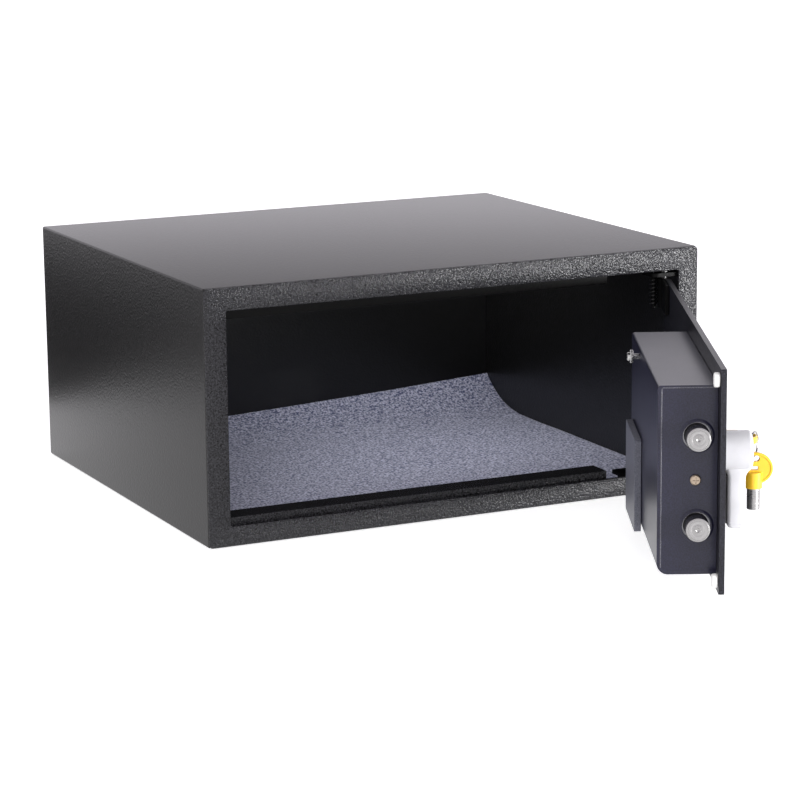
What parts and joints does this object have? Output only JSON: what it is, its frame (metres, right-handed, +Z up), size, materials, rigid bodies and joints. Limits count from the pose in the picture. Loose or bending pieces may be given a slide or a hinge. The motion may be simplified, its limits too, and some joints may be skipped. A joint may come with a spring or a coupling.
{
  "type": "in room safe",
  "caption": "Low wide steel guest room safe with an open hinged door, a lock case with round sliding bolts, a lever handle, a keypad panel, override keys on a ring and a carpeted floor.",
  "frame": {"origin": "centre of the underside of the cabinet", "axes": "+X to the right seen from the front, +Y to the back of the cabinet, +Z up; the door opening faces -Y"},
  "size_m": [0.43, 0.711, 0.2],
  "materials": {
    "black_paint": "black textured powder coat",
    "case_paint": "black textured powder coat, slightly glossier",
    "bright_steel": "bright plated steel",
    "zinc_steel": "plain zinc plated steel",
    "yellow_zinc": "yellow zinc plated steel",
    "silver_paint": "pearl silver paint over a die casting",
    "black_plastic": "fine moulded texture",
    "grey_plastic": "soft touch key caps",
    "yellow_plastic": "glossy moulded key head",
    "white_rubber": "soft white pad",
    "grey_felt": "short pile needle felt",
    "board_green": "lacquered circuit board",
    "battery_wrap": "shrink wrap",
    "smoked_window": "dark see-through window"
  },
  "bodies": {
    "cabinet": {"roof_panel": "black_paint", "floor_panel": "black_paint", "left_panel": "black_paint", "right_panel": "black_paint", "back_panel": "black_paint", "front_frame": "black_paint", "door_stop_lower": "black_paint", "door_stop_upper": "black_paint", "hinge_bracket_lower": "black_paint", "hinge_bracket_upper": "black_paint", "hinge_pin_lower": "bright_steel", "hinge_pin_upper": "bright_steel", "door_spring": "zinc_steel", "floor_mat": "grey_felt"},
    "door": {"door_plate": "black_paint", "hinge_knuckle_lower": "black_paint", "hinge_knuckle_upper": "black_paint", "lock_case": "case_paint", "guide_screw": "yellow_zinc", "bumper_lower": "white_rubber", "bumper_upper": "white_rubber", "front_panel": "black_plastic", "display_window": "smoked_window", "circuit_board": "board_green", "battery_box": "black_plastic", "battery_1": "battery_wrap", "battery_2": "battery_wrap", "battery_3": "battery_wrap", "battery_4": "battery_wrap", "bolt_guide": "zinc_steel", "solenoid_body": "zinc_steel", "lock_cylinder": "bright_steel"},
    "handle": {"door_handle": "silver_paint", "lever_insert": "black_plastic", "handle_spindle": "zinc_steel", "handle_crank": "zinc_steel"},
    "bolt_work": {"bolt_carriage": "zinc_steel", "bolt_lower": "bright_steel", "bolt_upper": "bright_steel"},
    "lock_and_key": {"lock_core": "bright_steel", "key_stem": "bright_steel", "key_bow": "yellow_plastic"},
    "ring": {"key_ring": "zinc_steel"},
    "spare_key": {"spare_key_bow": "yellow_plastic", "spare_key_stem": "bright_steel"},
    "battery_lid": {"battery_cover": "case_paint"},
    "thumb_screw_body": {"thumb_screw": "bright_steel"},
    "plunger": {"solenoid_plunger": "bright_steel"},
    "button_1": {"key_1": "grey_plastic"},
    "button_2": {"key_2": "grey_plastic"},
    "button_3": {"key_3": "grey_plastic"},
    "button_4": {"key_4": "grey_plastic"},
    "button_5": {"key_5": "grey_plastic"},
    "button_6": {"key_6": "grey_plastic"},
    "button_7": {"key_7": "grey_plastic"},
    "button_8": {"key_8": "grey_plastic"},
    "button_9": {"key_9": "grey_plastic"},
    "button_clear": {"key_clear": "grey_plastic"},
    "button_0": {"key_0": "grey_plastic"},
    "button_lock": {"key_lock": "grey_plastic"}
  },
  "joints": [
    {"name": "door_hinge", "type": "hinge", "parent": "cabinet", "child": "door", "pos_m": [0.1872, -0.178, 0.0976], "axis": [0, 0, 1], "range_deg": [-64.74, 45.26]},
    {"name": "handle_turn", "type": "hinge", "parent": "door", "child": "handle", "pos_m": [0.07824, -0.44172, 0.097], "axis": [-0.9044, 0.4267, 0], "range_deg": [0, 90]},
    {"name": "bolt_throw", "type": "slide", "parent": "door", "child": "bolt_work", "axis": [-0.4267, -0.9044, 0], "range_m": [0, 0.017]},
    {"name": "key_turn", "type": "hinge", "parent": "door", "child": "lock_and_key", "pos_m": [0.09742, -0.40765, 0.097], "axis": [0.9044, -0.4267, 0], "range_deg": [0, 90]},
    {"name": "ring_swing", "type": "hinge", "parent": "lock_and_key", "child": "ring", "pos_m": [0.11849, -0.41759, 0.097], "axis": [0.6393, -0.769, 0], "range_deg": [0, 28]},
    {"name": "spare_key_swing", "type": "hinge", "parent": "ring", "child": "spare_key", "pos_m": [0.12372, -0.41324, 0.0817], "axis": [-0.769, -0.6393, 0], "range_deg": [-15, 35]},
    {"name": "battery_cover_pull", "type": "slide", "parent": "door", "child": "battery_lid", "axis": [-0.9044, 0.4267, 0], "range_m": [0, 0.02]},
    {"name": "thumb_screw_turn", "type": "hinge", "parent": "door", "child": "thumb_screw_body", "pos_m": [0.05063, -0.3723, 0.1565], "axis": [-0.9044, 0.4267, 0], "continuous": true},
    {"name": "plunger_slide", "type": "slide", "parent": "door", "child": "plunger", "axis": [0, 0, 1], "range_m": [0, 0.005], "stiffness_N_per_m": 60},
    {"name": "press_1", "type": "slide", "parent": "door", "child": "button_1", "axis": [-0.9044, 0.4267, 0], "range_m": [0, 0.001], "stiffness_N_per_m": 400},
    {"name": "press_2", "type": "slide", "parent": "door", "child": "button_2", "axis": [-0.9044, 0.4267, 0], "range_m": [0, 0.001], "stiffness_N_per_m": 400},
    {"name": "press_3", "type": "slide", "parent": "door", "child": "button_3", "axis": [-0.9044, 0.4267, 0], "range_m": [0, 0.001], "stiffness_N_per_m": 400},
    {"name": "press_4", "type": "slide", "parent": "door", "child": "button_4", "axis": [-0.9044, 0.4267, 0], "range_m": [0, 0.001], "stiffness_N_per_m": 400},
    {"name": "press_5", "type": "slide", "parent": "door", "child": "button_5", "axis": [-0.9044, 0.4267, 0], "range_m": [0, 0.001], "stiffness_N_per_m": 400},
    {"name": "press_6", "type": "slide", "parent": "door", "child": "button_6", "axis": [-0.9044, 0.4267, 0], "range_m": [0, 0.001], "stiffness_N_per_m": 400},
    {"name": "press_7", "type": "slide", "parent": "door", "child": "button_7", "axis": [-0.9044, 0.4267, 0], "range_m": [0, 0.001], "stiffness_N_per_m": 400},
    {"name": "press_8", "type": "slide", "parent": "door", "child": "button_8", "axis": [-0.9044, 0.4267, 0], "range_m": [0, 0.001], "stiffness_N_per_m": 400},
    {"name": "press_9", "type": "slide", "parent": "door", "child": "button_9", "axis": [-0.9044, 0.4267, 0], "range_m": [0, 0.001], "stiffness_N_per_m": 400},
    {"name": "press_clear", "type": "slide", "parent": "door", "child": "button_clear", "axis": [-0.9044, 0.4267, 0], "range_m": [0, 0.001], "stiffness_N_per_m": 400},
    {"name": "press_0", "type": "slide", "parent": "door", "child": "button_0", "axis": [-0.9044, 0.4267, 0], "range_m": [0, 0.001], "stiffness_N_per_m": 400},
    {"name": "press_lock", "type": "slide", "parent": "door", "child": "button_lock", "axis": [-0.9044, 0.4267, 0], "range_m": [0, 0.001], "stiffness_N_per_m": 400}
  ],
  "couplings": [
    {"joint": "bolt_throw", "follows": "handle_turn", "m_per_rad": 0.01082}
  ]
}
